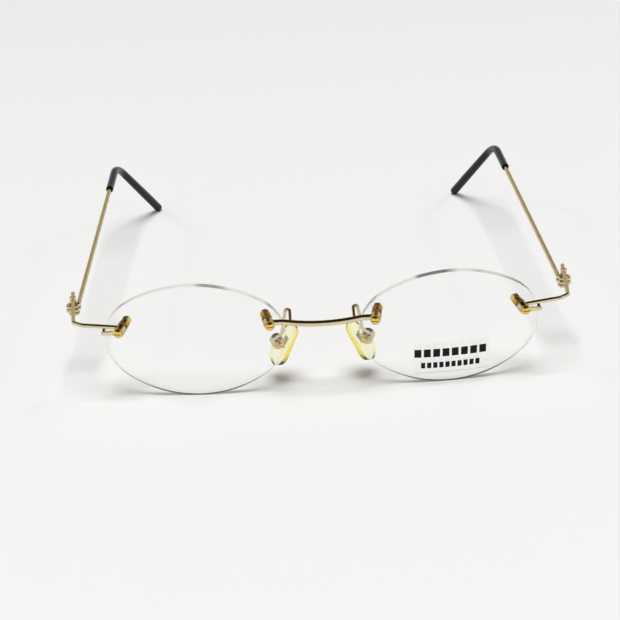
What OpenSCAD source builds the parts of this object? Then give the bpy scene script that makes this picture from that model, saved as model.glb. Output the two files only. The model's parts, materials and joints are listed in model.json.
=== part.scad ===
// Rimless drill-mount eyeglasses, standing open on the lens edges and the temple tips.
// +X is the wearer's left, +Y runs back along the temples and +Z is up.
// The origin is at the bottom centre of the open frame. Millimetres.

/* [Lenses] */
// Width of one lens (eye size)
lens_w = 48; // [46:0.5:52]
// Height of one lens
lens_h = 34.4; // [31:0.2:37]
// Gap between the lenses (bridge size)
bridge_gap = 20; // [18:0.5:22]
// Thickness of a lens
lens_t = 1.5; // [1.3:0.1:2]
// Radius of the front face of a lens
lens_front_r = 88; // [80:1:120]
// Radius of the lens outline at its inner and outer ends
lens_end_r = 14; // [13:0.5:15]
// Turn of each lens about the vertical, outer side back, in degrees
lens_wrap = 3.5; // [0:0.5:5]
// Lean of the lens tops towards the front, in degrees
front_tilt = 8.5; // [6:0.5:10]

/* [Lens screws] */
// Distance from the inner lens edge to the bridge screw
inner_hole_inset = 4.35; // [4.2:0.05:4.8]
// Height of the bridge screw above the lens centre
inner_hole_rise = 5.4; // [5:0.1:6]
// Distance from the outer lens edge to the endpiece screw
outer_hole_inset = 4.7; // [4.5:0.1:5.2]
// Height of the endpiece screw above the lens centre
outer_hole_rise = 4.4; // [4:0.1:5]
// Diameter of a lens screw
screw_d = 1.2; // [1:0.1:1.3]
// Clearance between a screw and each hole that it passes through, per side
screw_clearance = 0.05; // [0.03:0.01:0.08]
// Diameter of the plastic washers on both faces of the lens
soft_washer_d = 2.8; // [2.7:0.1:3]
// Diameter of the cap nuts across the corners
nut_d = 2.7; // [2.6:0.1:2.9]

/* [Wires] */
// Diameter of the bridge wire
bridge_wire_d = 1.55; // [1.4:0.05:1.7]
// Slope of the bridge at its two knees, in degrees
bridge_slope = 15; // [12:1:20]
// Diameter of the endpiece wires
endpiece_wire_d = 1.05; // [0.95:0.05:1.1]
// Diameter of the temple wires
temple_wire_d = 1.15; // [1:0.05:1.2]
// Diameter of the nose pad arm wires
arm_wire_d = 0.85; // [0.75:0.05:0.95]

/* [Hinges] */
// Distance from the outer lens edge out to the hinge axis
hinge_out = 9.3; // [8.5:0.1:10.5]
// Distance from the lens plane back to the hinge axes
hinge_back = 20.6; // [18:0.2:22]
// Radius of the wire's centreline in the hinge coil
coil_r = 1.48; // [1.4:0.02:1.6]
// Half turns in the hinge coil
coil_half_turns = 3; // [3:2:5]
// Clearance between the coil and the post inside it, per side
hinge_clearance = 0.05; // [0.03:0.01:0.08]

/* [Temples] */
// Length along a temple from the hinge axis to the end of the tip
temple_length = 140; // [130:1:145]
// Length of the part beyond the ear bend
ear_length = 37; // [34:0.5:42]
// Inward lean of the straight part, in degrees
temple_toe_in = 2; // [1:0.25:2.5]
// Upward lean of the straight part, in degrees
temple_rise = 2.1; // [1:0.1:2.5]
// Inward turn of the part beyond the ear bend, in degrees
ear_toe_in = 24; // [15:1:28]
// Radius of the ear bend
ear_bend_r = 14; // [10:1:18]
// Diameter of the tip where the wire enters it
tip_entry_d = 2.3; // [2:0.1:2.4]
// Diameter of the tip at its free end
tip_end_d = 2.7; // [2.5:0.1:3]

/* [Nose pads] */
// Height of a pad
pad_h = 13; // [12:0.5:14]
// Width of a pad
pad_w = 7.2; // [6.5:0.1:8]
// Thickness of a pad
pad_t = 2.6; // [2.4:0.1:3]
// Lean of the pads towards each other at the top, in degrees
pad_lean = 29; // [26:1:32]
// Turn of the pads towards the nose, in degrees
pad_splay = 25; // [20:1:30]

/* [Size film] */
// Width of the clear film on the wearer's left lens
film_w = 20.4; // [16:0.2:24]
// Height of the clear film
film_h = 10.2; // [8:0.2:12]

/* [Hidden] */

$fn = 48;
// Straight runs of wire are this much fatter than the bends, and reach a little into them
weld_lip = 0.004;
weld_reach = 0.03;
ROUND_FN = 32;
EDGE_FN = 12;
SPHERE_FN = 180;
X_AXIS = [1, 0, 0];
Z_AXIS = [0, 0, 1];

// Lens outline: two flat arcs above and below, two round ends
half_w = lens_w / 2;
half_h = lens_h / 2;
lens_x = (lens_w + bridge_gap) / 2;
flat_r = (half_w * half_w + half_h * half_h - 2 * half_w * lens_end_r)
    / (2 * (half_h - lens_end_r));
end_x = half_w - lens_end_r;
nose_edge_x = bridge_gap / 2;
arc_join_x = end_x * flat_r / (flat_r - lens_end_r);
blank_depth = 10;
blank_h = 11;

// Lens screw stacks, measured along the screw from the front face of the lens
hole_r = screw_d / 2 + screw_clearance;
soft_washer_t = 0.2;
metal_washer_d = 2.7;
metal_washer_t = 0.4;
mount_t = 2.1;
mount_d = 2.9;
head_d = 2.4;
head_h = 0.5;
head_dome_h = 0.6;
head_slot_w = 0.35;
head_slot_depth = 0.45;
nut_neck_d = 1.9;
nut_neck_h = 0.6;
nut_flange_d = 2.6;
nut_flange_h = 0.6;
nut_groove_h = 0.4;
nut_hex_h = 1.5;
nut_dome_h = 1;
nut_end_wall = 0.3;
nut_flat_r = nut_d / 2 * cos(30);
// A flat washer on the hollow rear face touches it at its rim
washer_rim_gap = 0.005;
rear_washer_lift = pow(soft_washer_d / 2, 2) / (lens_front_r - lens_t) / 2 + washer_rim_gap;
head_z = soft_washer_t + mount_t;
rear_washer_z = -lens_t - rear_washer_lift - soft_washer_t;
metal_washer_z = rear_washer_z - metal_washer_t;
nut_neck_z = metal_washer_z - nut_neck_h;
nut_flange_z = nut_neck_z - nut_flange_h;
nut_groove_z = nut_flange_z - nut_groove_h;
nut_hex_z = nut_groove_z - nut_hex_h;
screw_end_z = nut_hex_z + nut_end_wall;

// Edge lug of the endpiece mount, tapering from the disc to a tab over the lens edge
lug_root_y = [-1.25, 0.1];
lug_drop = 1.3;
lug_w = 0.8;
lug_t = 0.8;
lug_z = soft_washer_t + (mount_t - lug_t) / 2;
lug_reach = 0.8;
tab_t = 0.6;
lug_gap = 0.1;
lug_overhang = 0.5;

// Each wire is brazed to the side of its mount: its height over the screw axis and off the lens
bridge_wire_rise = 0.3;
bridge_wire_z = soft_washer_t + mount_t / 2;
endpiece_wire_rise = 0.85;
endpiece_wire_gap = 0.1;
endpiece_wire_z = soft_washer_t + endpiece_wire_gap + endpiece_wire_d / 2;
through_h = 8;

// Bridge, in the upright front's frame: level at the mounts, bowed forward between two knees
bridge_hole = on_lens(inner_hole_inset - half_w, inner_hole_rise, bridge_wire_z);
bridge_knee_out = 0.4;
bridge_knee_x = nose_edge_x + bridge_knee_out;
bridge_knee_r = 3;
bridge_y_end = bridge_hole[1];
bridge_z = bridge_hole[2] + bridge_wire_rise;
bridge_end_run = 2;
bridge_bend_r = (bridge_knee_x / cos(bridge_slope) - bridge_end_run) / tan(bridge_slope);
bridge_corner_y = bridge_y_end - bridge_knee_x * tan(bridge_slope);
bridge_mid_y = bridge_corner_y + bridge_bend_r * (1 / cos(bridge_slope) - 1);
bridge_path = [[-bridge_hole[0], bridge_y_end, bridge_z],
    [-bridge_knee_x, bridge_y_end, bridge_z],
    [0, bridge_corner_y, bridge_z],
    [bridge_knee_x, bridge_y_end, bridge_z],
    [bridge_hole[0], bridge_y_end, bridge_z]];
bridge_bends = [bridge_knee_r, bridge_bend_r, bridge_knee_r];

// Endpiece: along the front of the lens, round the corner and back over the hinge
endpiece_hole = on_lens(half_w - outer_hole_inset, outer_hole_rise, endpiece_wire_z);
endpiece_slope = 8.5;
endpiece_climb = 0.4;
endpiece_chamfer = [2.4, 1.9];
endpiece_bend_r = 1.5;
tail_length = 4.5;
tail_splay = 1.5;
hinge_x = nose_edge_x + lens_w + hinge_out;
endpiece_near = endpiece_hole + [0, 0, endpiece_wire_rise];
endpiece_run = hinge_x - tail_splay - endpiece_chamfer[0] - endpiece_near[0];
endpiece_far = endpiece_near + [endpiece_run, endpiece_run * tan(endpiece_slope), endpiece_climb];
lens_bottom = half_h * cos(front_tilt) - sphere_sag(half_h) * sin(front_tilt);
tail_z = standing_z(endpiece_far);

// Hinge: a coil of temple wire on a post brazed under the endpiece wire
stack_gap = 0.1;
coil_pitch = temple_wire_d + 0.06;
coil_rise = coil_pitch / 4;
coil_tilt = atan(coil_rise / coil_r);
coil_gap = 0.1;
leg_z = tail_z - endpiece_wire_d / 2 - stack_gap - temple_wire_d / 2;
coil_bottom_z = leg_z - coil_half_turns * coil_pitch / 2 - temple_wire_d / 2;
post_low_z = coil_bottom_z - stack_gap;
free_leg_length = 0.9;
post_r = coil_r - temple_wire_d / 2 - hinge_clearance;
post_cover = 0.3;
cap_r = 1.5;
cap_h = 0.5;
cap_dome_h = 0.35;
spigot_r = 0.5;

// Temple, measured from the leg that leaves the coil: straight part, ear bend, tip
leg_length = 4;
leg_bend_r = 30;
tip_end_r = tip_end_d / 2;
tip_entry_r = tip_entry_d / 2;
ear_corner_run = temple_length - ear_length - leg_length;
straight_dir = [-sin(temple_toe_in) * cos(temple_rise), cos(temple_toe_in) * cos(temple_rise),
    sin(temple_rise)];
ear_corner_offset = [0, leg_length, 0] + ear_corner_run * straight_dir;
ear_drop = leg_z + ear_corner_offset[2] - tip_end_r;
ear_run = sqrt(pow(ear_length - tip_end_r, 2) - ear_drop * ear_drop);
ear_end_offset = ear_corner_offset + [-ear_run * sin(ear_toe_in), ear_run * cos(ear_toe_in), -ear_drop];

// The open frame reaches from the bridge to the temple tips, with its origin midway
front_reach = bridge_wire_d / 2 - bridge_mid_y * cos(front_tilt) + bridge_z * sin(front_tilt);
back_reach = hinge_back + ear_end_offset[1] + tip_end_r;
front_y = (front_reach - back_reach) / 2;

// Paths in the frame of the whole object
hinge_y = front_y + hinge_back;
endpiece_corner = to_world(endpiece_far);
tail_start = [hinge_x - tail_splay, endpiece_corner[1] + endpiece_chamfer[1], tail_z];
tail_over_hinge = [hinge_x, hinge_y, tail_z];
tail_end = tail_over_hinge + tail_length * unit(tail_over_hinge - tail_start);
endpiece_path = [to_world(endpiece_near), endpiece_corner, tail_start, tail_end];
leg_start = [hinge_x - coil_r, hinge_y - coil_gap / 2, leg_z];
ear_corner = leg_start + ear_corner_offset;
ear_end = leg_start + ear_end_offset;
ear_dir = unit(ear_end - ear_corner);
temple_bends = [leg_bend_r, ear_bend_r];
tip_lead = 20;
tip_end_straight = 12;
tip_mid_r = 1.2;
core_short = 9;
ear_trim = bend_trim(straight_dir, ear_dir, ear_bend_r);
tip_start = ear_corner - tip_lead * straight_dir;
tip_grip_start = ear_end - tip_end_straight * ear_dir;
core_end = ear_end - core_short * ear_dir;

// Nose pads, in a frame whose X is the pivot screw, Y is up the pad and Z points at the nose
pad_centre = [nose_edge_x + 0.2, 8.2, -6.6];
pad_back_z = -1.1;
pad_hole_rise = 1;
pad_box_r = 1.7;
pad_box_l = 2.8;
pad_box_gap = 0.4;
pad_box_z = pad_back_z - pad_box_gap - pad_box_r;
pad_tier_r = 1.25;
pad_tier_h = 0.35;
pad_slot_w = 1.1;
pad_web_t = 0.5;
pad_screw_r = 0.4;
pad_screw_gap = 0.03;
pad_screw_head_r = 0.8;
pad_screw_head_h = 0.35;
pad_screw_slot_w = 0.22;
pad_screw_slot_depth = 0.2;
insert_t = 0.9;
insert_plate_t = 0.5;
insert_plate_size = [2, 3];
insert_plate_z = -0.7;
insert_eye_r = 1;
pad_top_r = 2.5;
pad_edge = 0.35;

// Nose pad arms: back from the bridge, over a tight loop and down to the pad box
arm_root_x = nose_edge_x - 1.6;
arm_root_depth = bridge_bend_r - sqrt(bridge_bend_r * bridge_bend_r - arm_root_x * arm_root_x);
arm_root = [arm_root_x, bridge_mid_y + arm_root_depth, bridge_z];
arm_loop_front = [nose_edge_x - 1.6, 4.4, 6.6];
arm_loop_back = [nose_edge_x - 0.5, 4.9, 6.6];
arm_knee = [nose_edge_x + 0.9, 5.6, -1.2];
arm_foot_rise = 0.2;
arm_foot = pad_point([0, pad_hole_rise + arm_foot_rise, pad_box_z - pad_box_r + pad_web_t / 2]);
arm_path = [arm_root, arm_loop_front, arm_loop_back, arm_knee, arm_foot];
arm_bends = [0.65, 0.65, 2];

// Size film
film_t = 0.1;
film_gap = 0.01;
film_corner_r = 0.8;
film_centre = [0.2, -8.6];

function unit(v) = v / norm(v);
function turn_angle(a, b) = acos(a * b);
function bend_trim(a, b, bend_r) = bend_r * tan(turn_angle(a, b) / 2);
// Depth of the lens front behind its apex, at a distance from the lens axis
function sphere_sag(d) = lens_front_r - sqrt(lens_front_r * lens_front_r - d * d);
// A point at a height above the front face of the left lens, in the upright front's frame
function on_lens(x, y, height) =
    let (depth = sphere_sag(norm([x, y])),
        normal = lens_normal(x, y),
        p = [x, y, -depth] + height * normal)
    [lens_x + p[0] * cos(lens_wrap) + p[2] * sin(lens_wrap),
        p[0] * sin(lens_wrap) - p[2] * cos(lens_wrap), p[1]];
function lens_normal(x, y) = [x, y, lens_front_r - sphere_sag(norm([x, y]))] / lens_front_r;
// From the upright front's frame to the frame of the whole object
function to_world(p) =
    [p[0], front_y + p[1] * cos(front_tilt) - p[2] * sin(front_tilt), standing_z(p)];
// The height that a point of the upright front has once the front leans
function standing_z(p) = lens_bottom + p[1] * sin(front_tilt) + p[2] * cos(front_tilt);
function turned_z(p, a) = [p[0] * cos(a) - p[1] * sin(a), p[0] * sin(a) + p[1] * cos(a), p[2]];
function turned_y(p, a) = [p[0] * cos(a) + p[2] * sin(a), p[1], p[2] * cos(a) - p[0] * sin(a)];
// From a pad's own frame to the upright front's frame
function pad_point(p) = pad_centre + turned_y(turned_z([-p[2], -p[0], p[1]], -pad_splay), -pad_lean);

module on_side(side) {
    if (side > 0) children();
    else mirror(X_AXIS) children();
}

module front_frame() {
    translate([0, front_y, lens_bottom]) rotate([front_tilt, 0, 0]) children();
}

// Lens frame: X to the outer side, Y up, Z forward, origin at the front apex
module lens_frame() {
    front_frame() translate([lens_x, 0, 0]) rotate([90, 0, lens_wrap]) children();
}

module pad_frame() {
    front_frame() translate(pad_centre) rotate([0, -pad_lean, 0]) rotate([0, 0, -pad_splay])
        rotate([90, 0, -90]) children();
}

module oriented(at, z_dir, x_dir) {
    z = unit(z_dir);
    x = unit(x_dir - (x_dir * z) * z);
    y = cross(z, x);
    multmatrix([for (i = [0 : 2]) [x[i], y[i], z[i], at[i]]]) children();
}

// Screw frame: Z forward along the screw, X to the outer side, origin on the lens front
module screw_frame(x, y) {
    lens_frame() oriented([x, y, -sphere_sag(norm([x, y]))], lens_normal(x, y), X_AXIS) children();
}

module inner_screw_frame() {
    screw_frame(inner_hole_inset - half_w, inner_hole_rise) children();
}

module outer_screw_frame() {
    screw_frame(half_w - outer_hole_inset, outer_hole_rise) children();
}

module rod(from, to, r1, r2) {
    line = to - from;
    side_hint = abs(line[2]) > norm(line) / 2 ? X_AXIS : Z_AXIS;
    oriented(from, line, side_hint) translate([0, 0, -weld_reach])
        cylinder(h = norm(line) + 2 * weld_reach, r1 = r1 + weld_lip, r2 = r2 + weld_lip);
}

module elbow(corner, dir_in, dir_out, bend_r, r) {
    side = unit(dir_out - (dir_out * dir_in) * dir_in);
    start = corner - bend_trim(dir_in, dir_out, bend_r) * dir_in;
    oriented(start + bend_r * side, cross(dir_in, side), -side)
        rotate_extrude(angle = turn_angle(dir_in, dir_out)) translate([bend_r, 0]) circle(r = r);
}

// A round wire along straight runs, with an arc of its own radius at each corner
module bent_wire(path, bends, r) {
    last = len(path) - 1;
    dirs = [for (i = [0 : last - 1]) unit(path[i + 1] - path[i])];
    trims = [for (i = [0 : last])
        i == 0 || i == last ? 0 : bend_trim(dirs[i - 1], dirs[i], bends[i - 1])];
    for (i = [0 : last - 1])
        rod(path[i] + trims[i] * dirs[i], path[i + 1] - trims[i + 1] * dirs[i], r, r);
    for (i = [1 : last - 1])
        elbow(path[i], dirs[i - 1], dirs[i], bends[i - 1], r);
}

// ---------------------------------------------------------------- lenses

module lens_outline() {
    intersection() {
        translate([0, half_h - flat_r]) circle(r = flat_r);
        translate([0, flat_r - half_h]) circle(r = flat_r);
        square([2 * arc_join_x, lens_w], center = true);
    }
    for (side = [-1, 1])
        translate([side * end_x, 0]) circle(r = lens_end_r);
}

// The poles of the two spheres are turned away from the lens
module lens_shell(inner_r, outer_r) {
    translate([0, 0, -lens_front_r]) rotate([90, 0, 0]) difference() {
        sphere(r = outer_r, $fn = SPHERE_FN);
        sphere(r = inner_r, $fn = SPHERE_FN);
    }
}

module lens() {
    color([0.93, 0.95, 0.94, 0.35]) difference() {
        lens_frame() intersection() {
            translate([0, 0, -blank_depth]) linear_extrude(blank_h) lens_outline();
            lens_shell(lens_front_r - lens_t, lens_front_r);
        }
        inner_screw_frame() screw_hole();
        outer_screw_frame() screw_hole();
    }
}

module screw_hole() {
    cylinder(h = through_h, r = hole_r, center = true);
}

module size_film() {
    color([0.95, 0.95, 0.95, 0.5]) lens_frame() intersection() {
        translate([film_centre[0], film_centre[1], -blank_depth]) linear_extrude(blank_h)
            rounded_rectangle(film_w, film_h, film_corner_r);
        lens_shell(lens_front_r + film_gap, lens_front_r + film_gap + film_t);
    }
}

module rounded_rectangle(w, h, r) {
    square([w - 2 * r, h], center = true);
    square([w, h - 2 * r], center = true);
    for (x = [-1, 1], y = [-1, 1])
        translate([x * (w / 2 - r), y * (h / 2 - r)]) circle(r = r);
}

// ---------------------------------------------------------------- lens screw stacks

module washer(z, t, d) {
    translate([0, 0, z]) difference() {
        cylinder(h = t, d = d);
        translate([0, 0, -t]) cylinder(h = 3 * t, r = hole_r);
    }
}

module front_washer() {
    color([0.95, 0.95, 0.93, 0.8]) washer(0, soft_washer_t, soft_washer_d);
}

module rear_washer() {
    color([0.95, 0.95, 0.93, 0.8]) washer(rear_washer_z, soft_washer_t, soft_washer_d);
}

module metal_washer() {
    color("goldenrod") washer(metal_washer_z, metal_washer_t, metal_washer_d);
}

// A shallow round cap standing on a disc of radius r
module dome(r, h) {
    cap_r = (r * r + h * h) / (2 * h);
    intersection() {
        translate([0, 0, h - cap_r]) sphere(r = cap_r);
        cylinder(h = 2 * h, r = r);
    }
}

module lens_screw() {
    color("goldenrod") {
        translate([0, 0, screw_end_z]) cylinder(h = head_z - screw_end_z, d = screw_d);
        translate([0, 0, head_z]) difference() {
            union() {
                cylinder(h = head_h, d = head_d);
                translate([0, 0, head_h]) dome(head_d / 2, head_dome_h);
            }
            translate([-head_d, -head_slot_w / 2, head_h + head_dome_h - head_slot_depth])
                cube([2 * head_d, head_slot_w, head_dome_h]);
        }
    }
}

module cap_nut() {
    color("goldenrod") difference() {
        union() {
            translate([0, 0, nut_groove_z]) cylinder(h = metal_washer_z - nut_groove_z, d = nut_neck_d);
            translate([0, 0, nut_flange_z]) cylinder(h = nut_flange_h, d = nut_flange_d);
            translate([0, 0, nut_hex_z]) cylinder(h = nut_hex_h, d = nut_d, $fn = 6);
            translate([0, 0, nut_hex_z]) mirror([0, 0, 1]) dome(nut_flat_r, nut_dome_h);
        }
        translate([0, 0, screw_end_z]) cylinder(h = -screw_end_z, d = screw_d);
    }
}

// ---------------------------------------------------------------- bridge and endpieces

module mount_disc() {
    translate([0, 0, soft_washer_t]) cylinder(h = mount_t, d = mount_d);
}

// What a wire loses where it butts against its mount
module mount_seat() {
    cylinder(h = through_h, d = mount_d, center = true);
}

module bridge_centre_wire() {
    difference() {
        front_frame() bent_wire(bridge_path, bridge_bends, bridge_wire_d / 2);
        for (side = [-1, 1])
            on_side(side) inner_screw_frame() mount_seat();
    }
}

module bridge_wire() {
    color("tan") bridge_centre_wire();
}

module bridge_mount() {
    color("tan") inner_screw_frame() difference() {
        mount_disc();
        screw_hole();
    }
}

module endpiece_bent_wire() {
    bent_wire(endpiece_path, [endpiece_bend_r, endpiece_bend_r], endpiece_wire_d / 2);
}

module endpiece_wire() {
    color("tan") difference() {
        endpiece_bent_wire();
        outer_screw_frame() mount_seat();
    }
}

// Lug from the mount to the lens edge, with a tab that hooks over the edge
module edge_lug() {
    lug_y = outer_hole_rise - lug_drop;
    lug_low = -lug_drop - lug_w / 2;
    edge_x = end_x + sqrt(pow(lens_end_r, 2) - pow(lug_y - lug_w / 2, 2)) + lug_gap;
    edge_z = -sphere_sag(norm([edge_x, lug_y]));
    lug_x = edge_x + tab_t - half_w + outer_hole_inset;
    outer_screw_frame() translate([0, 0, lug_z]) linear_extrude(lug_t)
        polygon([[0, lug_root_y[0]], [lug_x, lug_low], [lug_x, lug_low + lug_w],
            [0, lug_root_y[1]]]);
    lens_frame() translate([edge_x, lug_y - lug_w / 2, edge_z - lug_reach])
        cube([tab_t, lug_w, lug_reach + lug_z + lug_overhang]);
}

module endpiece_mount() {
    color("tan") difference() {
        union() {
            outer_screw_frame() mount_disc();
            edge_lug();
        }
        outer_screw_frame() screw_hole();
    }
}

// ---------------------------------------------------------------- hinges

module hinge_frame() {
    translate([hinge_x, hinge_y, 0]) children();
}

module hinge_post() {
    top_z = tail_z + endpiece_wire_d / 2 + post_cover;
    color("tan") difference() {
        hinge_frame() {
            translate([0, 0, post_low_z]) cylinder(h = top_z - post_low_z, r = post_r);
            translate([0, 0, post_low_z - cap_h]) cylinder(h = cap_h + stack_gap, r = spigot_r);
        }
        endpiece_bent_wire();
    }
}

module hinge_cap() {
    color("tan") hinge_frame() translate([0, 0, post_low_z]) mirror([0, 0, 1]) difference() {
        union() {
            cylinder(h = cap_h, r = cap_r);
            translate([0, 0, cap_h]) dome(cap_r, cap_dome_h);
        }
        cylinder(h = cap_h, r = spigot_r);
    }
}

// Half turns that climb a quarter pitch either side of their middle, front and back in turn
module hinge_coil() {
    bend_r = coil_r / cos(coil_tilt);
    hinge_frame() for (i = [0 : coil_half_turns - 1]) {
        is_front = i % 2 == 0;
        side = is_front ? -1 : 1;
        translate([0, side * coil_gap / 2, leg_z - (2 * i + 1) * coil_rise])
            rotate([0, -side * coil_tilt, 0]) rotate([0, 0, is_front ? 180 : 0])
                rotate_extrude(angle = 180) translate([bend_r, 0]) circle(d = temple_wire_d);
    }
    for (i = [1 : coil_half_turns]) {
        joint_x = hinge_x + (i % 2 == 0 ? -coil_r : coil_r);
        joint = [joint_x, hinge_y - coil_gap / 2, leg_z - 2 * i * coil_rise];
        rod(joint, joint + [0, i == coil_half_turns ? free_leg_length : coil_gap, 0],
            temple_wire_d / 2, temple_wire_d / 2);
    }
}

// ---------------------------------------------------------------- temples

module temple_core() {
    bent_wire([leg_start, leg_start + [0, leg_length, 0], ear_corner, core_end],
        temple_bends, temple_wire_d / 2);
}

module temple_wire() {
    color("tan") {
        temple_core();
        hinge_coil();
    }
}

module temple_tip() {
    lead_end = ear_corner - ear_trim * straight_dir;
    bend_end = ear_corner + ear_trim * ear_dir;
    color([0.06, 0.09, 0.06]) difference() {
        union() {
            rod(tip_start, lead_end, tip_entry_r, tip_mid_r);
            elbow(ear_corner, straight_dir, ear_dir, ear_bend_r, tip_mid_r);
            rod(bend_end, tip_grip_start, tip_mid_r, tip_end_r - 2 * weld_lip);
            rod(tip_grip_start, ear_end, tip_end_r, tip_end_r);
            translate(ear_end) sphere(r = tip_end_r);
        }
        temple_core();
    }
}

// ---------------------------------------------------------------- nose pads

module pad_arm() {
    color("tan") difference() {
        front_frame() bent_wire(arm_path, arm_bends, arm_wire_d / 2);
        bridge_centre_wire();
        pad_frame() pad_box_body();
    }
}

module pad_pivot() {
    translate([0, pad_hole_rise, pad_box_z]) rotate([0, 90, 0]) children();
}

module pad_box_body() {
    pad_pivot() {
        cylinder(h = pad_box_l, r = pad_box_r, center = true);
        translate([0, 0, pad_box_l / 2]) cylinder(h = pad_tier_h, r = pad_tier_r);
    }
}

module pad_box() {
    slot_low = pad_box_z - pad_box_r + pad_web_t;
    color("tan") pad_frame() difference() {
        pad_box_body();
        translate([-pad_slot_w / 2, pad_hole_rise - 2 * pad_box_r, slot_low])
            cube([pad_slot_w, 4 * pad_box_r, 4 * pad_box_r]);
        pad_pivot() {
            translate([0, 0, -pad_box_l]) cylinder(h = pad_box_l, r = pad_screw_r);
            cylinder(h = 2 * pad_box_l, r = pad_screw_r + pad_screw_gap);
        }
    }
}

module pad_screw() {
    head_x = pad_box_l / 2 + pad_tier_h;
    color("goldenrod") pad_frame() pad_pivot() {
        translate([0, 0, -pad_box_l / 2]) cylinder(h = head_x + pad_box_l / 2, r = pad_screw_r);
        translate([0, 0, head_x]) difference() {
            cylinder(h = pad_screw_head_h, r = pad_screw_head_r);
            translate([-pad_screw_head_r, -pad_screw_slot_w / 2, pad_screw_head_h - pad_screw_slot_depth])
                cube([2 * pad_screw_head_r, pad_screw_slot_w, pad_screw_head_h]);
        }
    }
}

// Plate moulded into the pad, with an eye for the pivot screw
module pad_insert_body() {
    translate([-insert_plate_size[0] / 2, pad_hole_rise - insert_plate_size[1] / 2, insert_plate_z])
        cube([insert_plate_size[0], insert_plate_size[1], insert_plate_t]);
    translate([-insert_t / 2, pad_hole_rise - insert_eye_r, pad_box_z])
        cube([insert_t, 2 * insert_eye_r, insert_plate_z - pad_box_z + insert_plate_t / 2]);
    pad_pivot() cylinder(h = insert_t, r = insert_eye_r, center = true);
}

module pad_insert() {
    color("silver") pad_frame() difference() {
        pad_insert_body();
        pad_pivot() cylinder(h = pad_box_l, r = pad_screw_r + pad_screw_gap, center = true);
    }
}

// Round-edged pad, wider at the bottom than at the top
module nose_pad() {
    top_r = pad_top_r - pad_edge;
    low_r = pad_w / 2 - pad_edge;
    top_y = pad_h / 2 - pad_top_r;
    low_y = pad_w / 2 - pad_h / 2;
    body_t = pad_t - 2 * pad_edge;
    color([0.9, 0.8, 0.45]) pad_frame() difference() {
        hull() {
            for (spot = [[top_y, top_r], [low_y, low_r]])
                translate([0, spot[0], pad_back_z + pad_edge])
                    rounded_disc(spot[1], body_t);
        }
        pad_insert_body();
    }
}

module rounded_disc(r, t) {
    minkowski() {
        cylinder(h = t / 2, r = r, $fn = ROUND_FN);
        sphere(r = pad_edge, $fn = EDGE_FN);
    }
    translate([0, 0, t / 2]) scale([1, 1, (t / 2 + pad_edge) / r]) sphere(r = r, $fn = ROUND_FN);
}

on_side(1) lens();  // left_lens
on_side(-1) lens();  // right_lens
on_side(1) size_film();
bridge_wire();
on_side(1) bridge_mount();  // left_bridge_mount
on_side(-1) bridge_mount();  // right_bridge_mount
on_side(1) endpiece_wire();  // left_endpiece_wire
on_side(-1) endpiece_wire();  // right_endpiece_wire
on_side(1) endpiece_mount();  // left_endpiece_mount
on_side(-1) endpiece_mount();  // right_endpiece_mount
on_side(1) inner_screw_frame() lens_screw();  // left_inner_screw
on_side(-1) inner_screw_frame() lens_screw();  // right_inner_screw
on_side(1) outer_screw_frame() lens_screw();  // left_outer_screw
on_side(-1) outer_screw_frame() lens_screw();  // right_outer_screw
on_side(1) inner_screw_frame() front_washer();  // left_inner_front_washer
on_side(-1) inner_screw_frame() front_washer();  // right_inner_front_washer
on_side(1) outer_screw_frame() front_washer();  // left_outer_front_washer
on_side(-1) outer_screw_frame() front_washer();  // right_outer_front_washer
on_side(1) inner_screw_frame() rear_washer();  // left_inner_rear_washer
on_side(-1) inner_screw_frame() rear_washer();  // right_inner_rear_washer
on_side(1) outer_screw_frame() rear_washer();  // left_outer_rear_washer
on_side(-1) outer_screw_frame() rear_washer();  // right_outer_rear_washer
on_side(1) inner_screw_frame() metal_washer();  // left_inner_metal_washer
on_side(-1) inner_screw_frame() metal_washer();  // right_inner_metal_washer
on_side(1) outer_screw_frame() metal_washer();  // left_outer_metal_washer
on_side(-1) outer_screw_frame() metal_washer();  // right_outer_metal_washer
on_side(1) inner_screw_frame() cap_nut();  // left_inner_nut
on_side(-1) inner_screw_frame() cap_nut();  // right_inner_nut
on_side(1) outer_screw_frame() cap_nut();  // left_outer_nut
on_side(-1) outer_screw_frame() cap_nut();  // right_outer_nut
on_side(1) hinge_post();  // left_hinge_post
on_side(-1) hinge_post();  // right_hinge_post
on_side(1) hinge_cap();  // left_hinge_cap
on_side(-1) hinge_cap();  // right_hinge_cap
on_side(1) temple_wire();  // left_temple_wire
on_side(-1) temple_wire();  // right_temple_wire
on_side(1) temple_tip();  // left_temple_tip
on_side(-1) temple_tip();  // right_temple_tip
on_side(1) pad_arm();  // left_pad_arm
on_side(-1) pad_arm();  // right_pad_arm
on_side(1) pad_box();  // left_pad_box
on_side(-1) pad_box();  // right_pad_box
on_side(1) pad_screw();  // left_pad_screw
on_side(-1) pad_screw();  // right_pad_screw
on_side(1) pad_insert();  // left_pad_insert
on_side(-1) pad_insert();  // right_pad_insert
on_side(1) nose_pad();  // left_nose_pad
on_side(-1) nose_pad();  // right_nose_pad
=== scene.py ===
"""Looks for the rimless eyeglasses: finishes, lights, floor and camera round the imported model."""

import math

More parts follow.
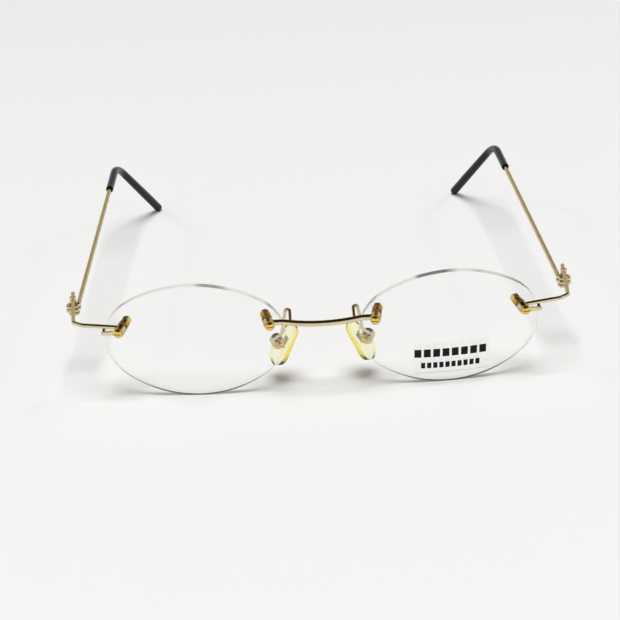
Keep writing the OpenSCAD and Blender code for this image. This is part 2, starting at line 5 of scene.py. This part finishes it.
import bpy
from mathutils import Matrix, Vector
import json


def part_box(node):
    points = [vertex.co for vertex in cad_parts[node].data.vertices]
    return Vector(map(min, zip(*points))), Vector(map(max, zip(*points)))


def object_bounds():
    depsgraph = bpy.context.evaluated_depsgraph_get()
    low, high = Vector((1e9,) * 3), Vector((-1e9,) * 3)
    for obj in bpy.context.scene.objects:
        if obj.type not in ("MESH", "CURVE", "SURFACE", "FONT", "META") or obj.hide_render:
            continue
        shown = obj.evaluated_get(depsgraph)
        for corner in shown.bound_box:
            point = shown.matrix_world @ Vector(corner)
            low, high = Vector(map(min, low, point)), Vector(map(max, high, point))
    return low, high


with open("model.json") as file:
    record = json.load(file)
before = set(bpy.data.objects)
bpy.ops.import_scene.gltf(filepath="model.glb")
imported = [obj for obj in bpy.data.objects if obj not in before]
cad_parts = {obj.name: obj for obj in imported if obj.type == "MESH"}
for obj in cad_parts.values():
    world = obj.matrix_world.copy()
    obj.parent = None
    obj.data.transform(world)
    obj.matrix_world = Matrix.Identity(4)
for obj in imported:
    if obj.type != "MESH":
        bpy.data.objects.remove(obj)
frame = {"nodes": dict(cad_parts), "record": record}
cad_low, cad_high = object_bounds()

MM = 0.001

# The front of the frame: how far its top leans forward, and how far each lens turns back
FRONT_TILT = math.radians(8.5)
LENS_WRAP = math.radians(3.5)

# Camera: where it stands round the point that it looks at, and its focal length
VIEW_ELEVATION = math.radians(24.147)
VIEW_TURN = math.radians(0.902)
VIEW_ROLL = math.radians(2.932)
VIEW_DISTANCE = 442.2 * MM
FOCAL_MM = 97.91
SENSOR_MM = 36
AIM_X = -3.073 * MM
AIM_BACK = 3.29 * MM
AIM_HEIGHT = 25.06 * MM

# The way that the wearer's left nose pad faces
PAD_FACE = Vector((-0.793, 0.483, -0.372))

# The floor: half its side, how far it lies under the object, and its two close shades
FLOOR_HALF = 3.0
FLOOR_DROP = 0.02 * MM
FLOOR_DARK = (0.858, 0.863, 0.864, 1.0)
FLOOR_PALE = (0.873, 0.875, 0.874, 1.0)

# Camera clipping, in metres
CLIP_NEAR = 0.01
CLIP_FAR = 20.0

# Lamps: places and sizes in metres, powers in watts
SIDE_LAMP_OUT = 0.8
SIDE_LAMP_SIZE = 0.12
SIDE_LAMP_POWER = 0.8
TOP_LAMP_PLACE = (0.0, -1.5, 5.0)
TOP_LAMP_SIZE = 2.4
TOP_LAMP_POWER = 238.0

# The room: its colour at each sine of the angle above the horizon
ROOM_STOPS = (
    (0.0, (0.9, 0.9, 0.89, 1.0)),
    (0.3, (0.78, 0.77, 0.75, 1.0)),
    (0.46, (0.4, 0.38, 0.34, 1.0)),
    (0.56, (0.02, 0.011, 0.004, 1.0)),
    (1.0, (0.03, 0.019, 0.009, 1.0)),
)

# Gold plates: clean colour, tarnished colour and tint at grazing angles
ROSE_GOLD = ((0.74, 0.65, 0.44, 1.0), (0.56, 0.46, 0.28, 1.0), (0.5, 0.38, 0.22, 1.0))
YELLOW_GOLD = ((0.85, 0.6, 0.15, 1.0), (0.5, 0.29, 0.06, 1.0), (0.3, 0.15, 0.03, 1.0))
GOLD_ROUGHNESS = 0.06

# Refractive indices: all but the lens's are set low, for fainter reflections
LENS_IOR = 1.49
GROUND_EDGE_IOR = 1.3
WASHER_IOR = 1.3
FILM_IOR = 1.25
TIP_IOR = 1.22
PAD_IOR = 1.2

# How strongly the silicone of a pad takes up light, per metre
PAD_DENSITY = 80.0

# A lens face that faces forward or back less than this belongs to the ground edge
EDGE_FACING = 0.5
# The ground edge carries painted shade: it is painted dark at the bottom, where it meets the floor,
# and goes from dark to lit between these heights
EDGE_PAINTED_SHADE_FULL_HEIGHT = 2.0 * MM
EDGE_PAINTED_SHADE_END_HEIGHT = 12.0 * MM

# Rows of printed blocks on the film, in mm: height of the row above the film's middle, height
# of a block, half the row's length, pitch of the blocks, and the share of the pitch inked
FILM_ROWS = ((1.7, 2.6, 10.0, 2.5, 0.74), (-2.5, 1.9, 8.2, 1.64, 0.68))

# The span that most values of a noise lie in
NOISE_SPAN = (0.3, 0.7)

WHITE = (1.0, 1.0, 1.0, 1.0)


# ---------------------------------------------------------------- node helpers


class Look:
    """A material being built: its node tree, with short calls for the nodes used here."""

    def __init__(self, name):
        self.material = bpy.data.materials.new(name)
        self.material.use_nodes = True
        self.tree = self.material.node_tree
        self.tree.nodes.clear()
        self.output = self.tree.nodes.new("ShaderNodeOutputMaterial")

    def node(self, kind, **inputs):
        made = self.tree.nodes.new(kind)
        for name, value in inputs.items():
            self.put(made.inputs[name.replace("_", " ")], value)
        return made

    def put(self, socket, value):
        if isinstance(value, bpy.types.NodeSocket):
            self.tree.links.new(value, socket)
        else:
            socket.default_value = value

    def principled(self, **inputs):
        return self.node("ShaderNodeBsdfPrincipled", **inputs)

    def position(self):
        return self.node("ShaderNodeTexCoord").outputs["Object"]

    def noise(self, vector, scale, detail=3.0, roughness=0.5):
        made = self.node("ShaderNodeTexNoise", Vector=vector, Scale=scale, Detail=detail)
        made.inputs["Roughness"].default_value = roughness
        return made.outputs["Fac"]

    def math(self, operation, first, second=None):
        made = self.tree.nodes.new("ShaderNodeMath")
        made.operation = operation
        self.put(made.inputs[0], first)
        if second is not None:
            self.put(made.inputs[1], second)
        return made.outputs[0]

    def fit(self, value, low, high, to_low, to_high):
        made = self.tree.nodes.new("ShaderNodeMapRange")
        numbers = (value, low, high, to_low, to_high)
        for name, number in zip(("Value", "From Min", "From Max", "To Min", "To Max"), numbers):
            self.put(made.inputs[name], number)
        return made.outputs["Result"]

    def mix_colour(self, factor, first, second):
        made = self.tree.nodes.new("ShaderNodeMix")
        made.data_type = "RGBA"
        self.put(made.inputs["Factor"], factor)
        self.put(made.inputs["A"], first)
        self.put(made.inputs["B"], second)
        return made.outputs["Result"]

    def dot(self, vector, direction):
        made = self.tree.nodes.new("ShaderNodeVectorMath")
        made.operation = "DOT_PRODUCT"
        self.put(made.inputs[0], vector)
        self.put(made.inputs[1], direction)
        return made.outputs["Value"]

    def bump(self, height, strength, distance):
        made = self.node("ShaderNodeBump", Height=height, Strength=strength, Distance=distance)
        return made.outputs["Normal"]

    def mix_shader(self, factor, first, second):
        made = self.tree.nodes.new("ShaderNodeMixShader")
        self.put(made.inputs[0], factor)
        self.put(made.inputs[1], first)
        self.put(made.inputs[2], second)
        return made.outputs[0]

    def finish(self, surface, volume=None):
        self.put(self.output.inputs["Surface"], surface)
        if volume is not None:
            self.put(self.output.inputs["Volume"], volume)
        return self.material


def stretched(look, vector, scale):
    """The same coordinates stretched, so that noise makes streaks."""
    made = look.tree.nodes.new("ShaderNodeMapping")
    look.put(made.inputs["Vector"], vector)
    made.inputs["Scale"].default_value = scale
    return made.outputs["Vector"]


# ---------------------------------------------------------------- finishes


def gold(name, clean, tarnished, edge_tint):
    """Polished gold plate: fine polishing marks, cloudy handling marks and darker tarnish."""
    look = Look(name)
    at = look.position()
    cloud = look.noise(at, 260.0, detail=4.0, roughness=0.6)
    marks = look.noise(stretched(look, at, (1.0, 1.0, 5.0)), 2600.0, detail=2.0)
    tarnish = look.fit(cloud, 0.5, 0.8, 0.0, 0.6)
    handled = look.fit(cloud, *NOISE_SPAN, GOLD_ROUGHNESS, GOLD_ROUGHNESS + 0.1)
    polish = look.math("ADD", handled, look.fit(marks, 0.4, 0.8, 0.0, 0.05))
    surface = look.principled(
        Base_Color=look.mix_colour(tarnish, clean, tarnished),
        Specular_Tint=edge_tint,
        Metallic=1.0,
        Roughness=polish,
        Normal=look.bump(marks, 0.08, 0.02 * MM),
    )
    return look.finish(surface.outputs[0])


def clear_lens():
    """Clear demo-lens plastic with faint smears, and a patchy satin ground edge with painted shade
    low down.
    """
    look = Look("clear_lens_plastic")
    at = look.position()
    smear = look.noise(stretched(look, at, (1.0, 1.0, 2.5)), 70.0, detail=4.0, roughness=0.6)
    clear = look.principled(
        Base_Color=(0.985, 0.992, 0.988, 1.0),
        Roughness=look.fit(smear, 0.5, 0.8, 0.0, 0.03),
        IOR=LENS_IOR,
        Transmission_Weight=1.0,
    )
    grind = look.noise(at, 1400.0, detail=4.0, roughness=0.6)
    height = look.dot(at, Vector((0.0, 0.0, 1.0)))
    # Painted shade: towards the bottom of the lens the ground edge is painted near black and lets
    # less light through
    outside_painted_shade = look.fit(height, EDGE_PAINTED_SHADE_FULL_HEIGHT, EDGE_PAINTED_SHADE_END_HEIGHT, 0.0, 1.0)
    ground_light = look.mix_colour(grind, (0.84, 0.85, 0.84, 1.0), (0.97, 0.97, 0.96, 1.0))
    ground_with_painted_shade = look.mix_colour(outside_painted_shade, (0.03, 0.03, 0.025, 1.0), ground_light)
    satin = look.principled(
        Base_Color=ground_with_painted_shade,
        Roughness=look.fit(grind, *NOISE_SPAN, 0.25, 0.5),
        IOR=GROUND_EDGE_IOR,
        Transmission_Weight=look.fit(outside_painted_shade, 0.0, 1.0, 0.1, 0.6),
    )
    facing = look.node("ShaderNodeNewGeometry").outputs["True Normal"]
    forward = Vector((0.0, math.cos(FRONT_TILT), math.sin(FRONT_TILT)))
    facing_share = look.math("ABSOLUTE", look.dot(facing, forward))
    is_edge = look.math("LESS_THAN", facing_share, EDGE_FACING)
    patch = look.noise(at, 70.0, detail=1.0)
    patchy = look.fit(patch, 0.4, 0.5, 0.25, 0.9)
    ground_share = look.math("MAXIMUM", patchy, look.math("SUBTRACT", 1.0, outside_painted_shade))
    satin_share = look.math("MULTIPLY", is_edge, ground_share)
    surface = look.mix_shader(satin_share, clear.outputs[0], satin.outputs[0])
    path = look.node("ShaderNodeLightPath")
    shade = look.mix_colour(is_edge, (0.94, 0.945, 0.93, 1.0), (0.3, 0.3, 0.25, 1.0))
    through = look.node("ShaderNodeBsdfTransparent", Color=shade)
    return look.finish(look.mix_shader(path.outputs["Is Shadow Ray"], surface, through.outputs[0]))


def soft_plastic():
    """Clear plastic of the washers: nearly unseen, with a faint cloudy gloss."""
    look = Look("washer_plastic")
    at = look.position()
    cloud = look.noise(at, 900.0)
    tint = look.mix_colour(cloud, (0.97, 0.96, 0.92, 1.0), (0.88, 0.85, 0.76, 1.0))
    clear = look.node("ShaderNodeBsdfTransparent", Color=tint)
    rough = look.fit(cloud, *NOISE_SPAN, 0.1, 0.25)
    gloss = look.node("ShaderNodeBsdfGlossy", Color=WHITE, Roughness=rough)
    skin = look.node("ShaderNodeFresnel", IOR=WASHER_IOR)
    return look.finish(look.mix_shader(skin.outputs[0], clear.outputs[0], gloss.outputs[0]))


def tip_plastic():
    """Glossy temple-tip plastic: near black with a green cast, cloudy wear and fine scratches."""
    look = Look("tip_plastic")
    at = look.position()
    cloud = look.noise(at, 180.0, detail=4.0)
    scratch = look.noise(stretched(look, at, (6.0, 0.6, 6.0)), 1800.0, detail=2.0)
    worn = look.fit(cloud, *NOISE_SPAN, 0.1, 0.2)
    surface = look.principled(
        Base_Color=look.mix_colour(cloud, (0.003, 0.006, 0.004, 1.0), (0.009, 0.016, 0.01, 1.0)),
        Roughness=look.math("ADD", worn, look.fit(scratch, 0.55, 0.8, 0.0, 0.12)),
        IOR=TIP_IOR,
        Normal=look.bump(scratch, 0.05, 0.02 * MM),
    )
    return look.finish(surface.outputs[0])


def pad_silicone():
    """Clear silicone yellowed with age: pale on the faces of a pad and deep yellow at its rim."""
    look = Look("pad_silicone")
    at = look.position()
    cloud = look.noise(at, 420.0, detail=4.0)
    side = look.math("SIGN", look.dot(at, Vector((1.0, 0.0, 0.0))))
    facing = look.node("ShaderNodeNewGeometry").outputs["Normal"]
    across = look.math("MULTIPLY", side, look.dot(facing, Vector((PAD_FACE.x, 0.0, 0.0))))
    along = look.dot(facing, Vector((0.0, PAD_FACE.y, PAD_FACE.z)))
    on_face = look.math("ABSOLUTE", look.math("ADD", across, along))
    is_rim = look.fit(on_face, 0.45, 0.75, 1.0, 0.0)
    face = look.mix_colour(cloud, (0.99, 0.985, 0.93, 1.0), (0.985, 0.97, 0.86, 1.0))
    rim = look.mix_colour(cloud, (0.98, 0.9, 0.4, 1.0), (0.95, 0.84, 0.3, 1.0))
    surface = look.principled(
        Base_Color=look.mix_colour(is_rim, face, rim),
        Roughness=look.fit(cloud, *NOISE_SPAN, 0.08, 0.2),
        IOR=PAD_IOR,
        Transmission_Weight=1.0,
        Normal=look.bump(cloud, 0.1, 0.1 * MM),
    )
    inside = look.node(
        "ShaderNodeVolumeAbsorption", Color=(0.985, 0.93, 0.02, 1.0), Density=PAD_DENSITY
    )
    path = look.node("ShaderNodeLightPath")
    through = look.node("ShaderNodeBsdfTransparent", Color=(0.42, 0.4, 0.28, 1.0))
    shown = look.mix_shader(path.outputs["Is Shadow Ray"], surface.outputs[0], through.outputs[0])
    return look.finish(shown, inside.outputs[0])


def insert_metal():
    """Satin plate in a nose pad, seen yellowed through the silicone."""
    look = Look("insert_metal")
    at = look.position()
    grain = look.noise(stretched(look, at, (1.0, 1.0, 8.0)), 1500.0)
    surface = look.principled(
        Base_Color=look.mix_colour(grain, (0.82, 0.76, 0.55, 1.0), (0.92, 0.88, 0.7, 1.0)),
        Metallic=0.35,
        Roughness=look.fit(grain, *NOISE_SPAN, 0.35, 0.55),
    )
    return look.finish(surface.outputs[0])


def printed_film(centre):
    """Clear film with two rows of plain printed blocks, where a size mark would be."""
    look = Look("printed_film")
    back = math.sin(LENS_WRAP)
    across = Vector((math.cos(LENS_WRAP), back * math.cos(FRONT_TILT), back * math.sin(FRONT_TILT)))
    upward = Vector((0.0, -math.sin(FRONT_TILT), math.cos(FRONT_TILT)))
    at = look.position()
    x = look.math("SUBTRACT", look.dot(at, across), across.dot(centre))
    y = look.math("SUBTRACT", look.dot(at, upward), upward.dot(centre))

    def within(value, low, high):
        above = look.math("GREATER_THAN", value, low * MM)
        return look.math("MULTIPLY", above, look.math("LESS_THAN", value, high * MM))

    def blocks(row_y, height, half_length, pitch, fill):
        """Blocks of one row: pitch apart, each filling a share of its pitch."""
        along = look.math("ADD", x, half_length * MM)
        phase = look.math("FRACT", look.math("DIVIDE", along, pitch * MM))
        inked = look.math("LESS_THAN", phase, fill)
        in_height = within(y, row_y - height / 2, row_y + height / 2)
        row = look.math("MULTIPLY", in_height, within(x, -half_length, half_length))
        return look.math("MULTIPLY", row, inked)

    ink = look.math("MAXIMUM", *[blocks(*row) for row in FILM_ROWS])
    grain = look.noise(at, 2500.0)
    printed = look.principled(
        Base_Color=look.mix_colour(grain, (0.003, 0.003, 0.004, 1.0), (0.008, 0.008, 0.009, 1.0)),
        Roughness=look.fit(grain, *NOISE_SPAN, 0.5, 0.65),
    )
    printed.inputs["Specular IOR Level"].default_value = 0.15
    clear = look.node("ShaderNodeBsdfTransparent", Color=(0.985, 0.985, 0.98, 1.0))
    gloss = look.node("ShaderNodeBsdfGlossy", Color=WHITE, Roughness=0.08)
    sheen = look.node("ShaderNodeFresnel", IOR=FILM_IOR)
    skin = look.mix_shader(sheen.outputs[0], clear.outputs[0], gloss.outputs[0])
    return look.finish(look.mix_shader(ink, skin, printed.outputs[0]))


rose_gold = gold("rose_gold_plate", *ROSE_GOLD)
yellow_gold = gold("yellow_gold_plate", *YELLOW_GOLD)
film_low, film_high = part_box("size_film")
finishes = {
    "lens": clear_lens(),
    "film": printed_film((film_low + film_high) / 2),
    "rose_gold": rose_gold,
    "yellow_gold": yellow_gold,
    "soft_washer": soft_plastic(),
    "tip": tip_plastic(),
    "insert": insert_metal(),
    "pad": pad_silicone(),
}

slot_of = {row["node"]: row["material_slot"] for row in frame["record"]["subparts"]}
for name, piece in frame["nodes"].items():
    piece.data.materials.clear()
    piece.data.materials.append(finishes[slot_of[name]])


# ---------------------------------------------------------------- floor, lights and camera


def make_floor():
    """A plain pale floor just under the object."""
    signs = ((-1, -1), (1, -1), (1, 1), (-1, 1))
    corners = [(x * FLOOR_HALF, y * FLOOR_HALF, -FLOOR_DROP) for x, y in signs]
    mesh = bpy.data.meshes.new("studio_floor")
    mesh.from_pydata(corners, [], [(0, 1, 2, 3)])
    floor = bpy.data.objects.new("studio_floor", mesh)
    bpy.context.scene.collection.objects.link(floor)
    look = Look("studio_paper")
    cloud = look.noise(look.position(), 3.0, detail=2.0)
    surface = look.principled(
        Base_Color=look.mix_colour(cloud, FLOOR_DARK, FLOOR_PALE),
        Roughness=0.7,
    )
    surface.inputs["Specular IOR Level"].default_value = 0.2
    mesh.materials.append(look.finish(surface.outputs[0]))


def softbox(name, place, size, power, mirrored=True):
    """A square area light that points at the origin; mirrored ones show in glossy surfaces."""
    lamp = bpy.data.lights.new(name, "AREA")
    lamp.shape = "SQUARE"
    lamp.size = size
    lamp.energy = power
    holder = bpy.data.objects.new(name, lamp)
    bpy.context.scene.collection.objects.link(holder)
    holder.location = place
    holder.rotation_mode = "QUATERNION"
    holder.rotation_quaternion = (-Vector(place)).to_track_quat("-Z", "Y")
    holder.visible_glossy = mirrored
    holder.visible_transmission = False


def make_world():
    """A studio room, bright from the horizon to about 27 degrees up and dark brown above."""
    world = bpy.data.worlds.new("studio_room")
    world.use_nodes = True
    tree = world.node_tree
    tree.nodes.clear()
    up = tree.nodes.new("ShaderNodeTexCoord")
    split = tree.nodes.new("ShaderNodeSeparateXYZ")
    ramp = tree.nodes.new("ShaderNodeValToRGB")
    back = tree.nodes.new("ShaderNodeBackground")
    out = tree.nodes.new("ShaderNodeOutputWorld")
    tree.links.new(up.outputs["Generated"], split.inputs[0])
    tree.links.new(split.outputs["Z"], ramp.inputs[0])
    tree.links.new(ramp.outputs[0], back.inputs["Color"])
    tree.links.new(back.outputs[0], out.inputs[0])
    stops = ramp.color_ramp.elements
    stops[0].position, stops[0].color = ROOM_STOPS[0]
    stops[1].position, stops[1].color = ROOM_STOPS[-1]
    for position, colour in ROOM_STOPS[1:-1]:
        stops.new(position).color = colour
    back.inputs["Strength"].default_value = 1.0
    bpy.context.scene.world = world


def make_camera():
    """The photo's camera, turned, tipped and rolled about the point that it looks at."""
    turn = Matrix.Rotation(-VIEW_TURN, 3, "Z")
    ahead = Vector((0.0, math.cos(VIEW_ELEVATION), -math.sin(VIEW_ELEVATION)))
    above = Vector((0.0, math.sin(VIEW_ELEVATION), math.cos(VIEW_ELEVATION)))
    sideways = Vector((1.0, 0.0, 0.0))
    right = turn @ (math.cos(VIEW_ROLL) * sideways - math.sin(VIEW_ROLL) * above)
    up = turn @ (math.sin(VIEW_ROLL) * sideways + math.cos(VIEW_ROLL) * above)
    aim = turn @ Vector((AIM_X, 0.0, AIM_HEIGHT)) + Vector((0.0, cad_low.y + AIM_BACK, 0.0))
    place = aim - VIEW_DISTANCE * (turn @ ahead)
    axes = Matrix((right, up, -(turn @ ahead))).transposed()
    data = bpy.data.cameras.new("studio_camera")
    data.lens = FOCAL_MM
    data.sensor_width = SENSOR_MM
    data.clip_start = CLIP_NEAR
    data.clip_end = CLIP_FAR
    camera = bpy.data.objects.new("studio_camera", data)
    bpy.context.scene.collection.objects.link(camera)
    camera.matrix_world = Matrix.Translation(place) @ axes.to_4x4()
    bpy.context.scene.camera = camera


make_floor()
make_world()
make_camera()
for name, side in (("left_softbox", -1), ("right_softbox", 1)):
    softbox(name, (side * SIDE_LAMP_OUT, 0.0, SIDE_LAMP_OUT), SIDE_LAMP_SIZE, SIDE_LAMP_POWER)
softbox("top_softbox", TOP_LAMP_PLACE, TOP_LAMP_SIZE, TOP_LAMP_POWER, mirrored=False)
bpy.context.scene.view_settings.view_transform = "Standard"
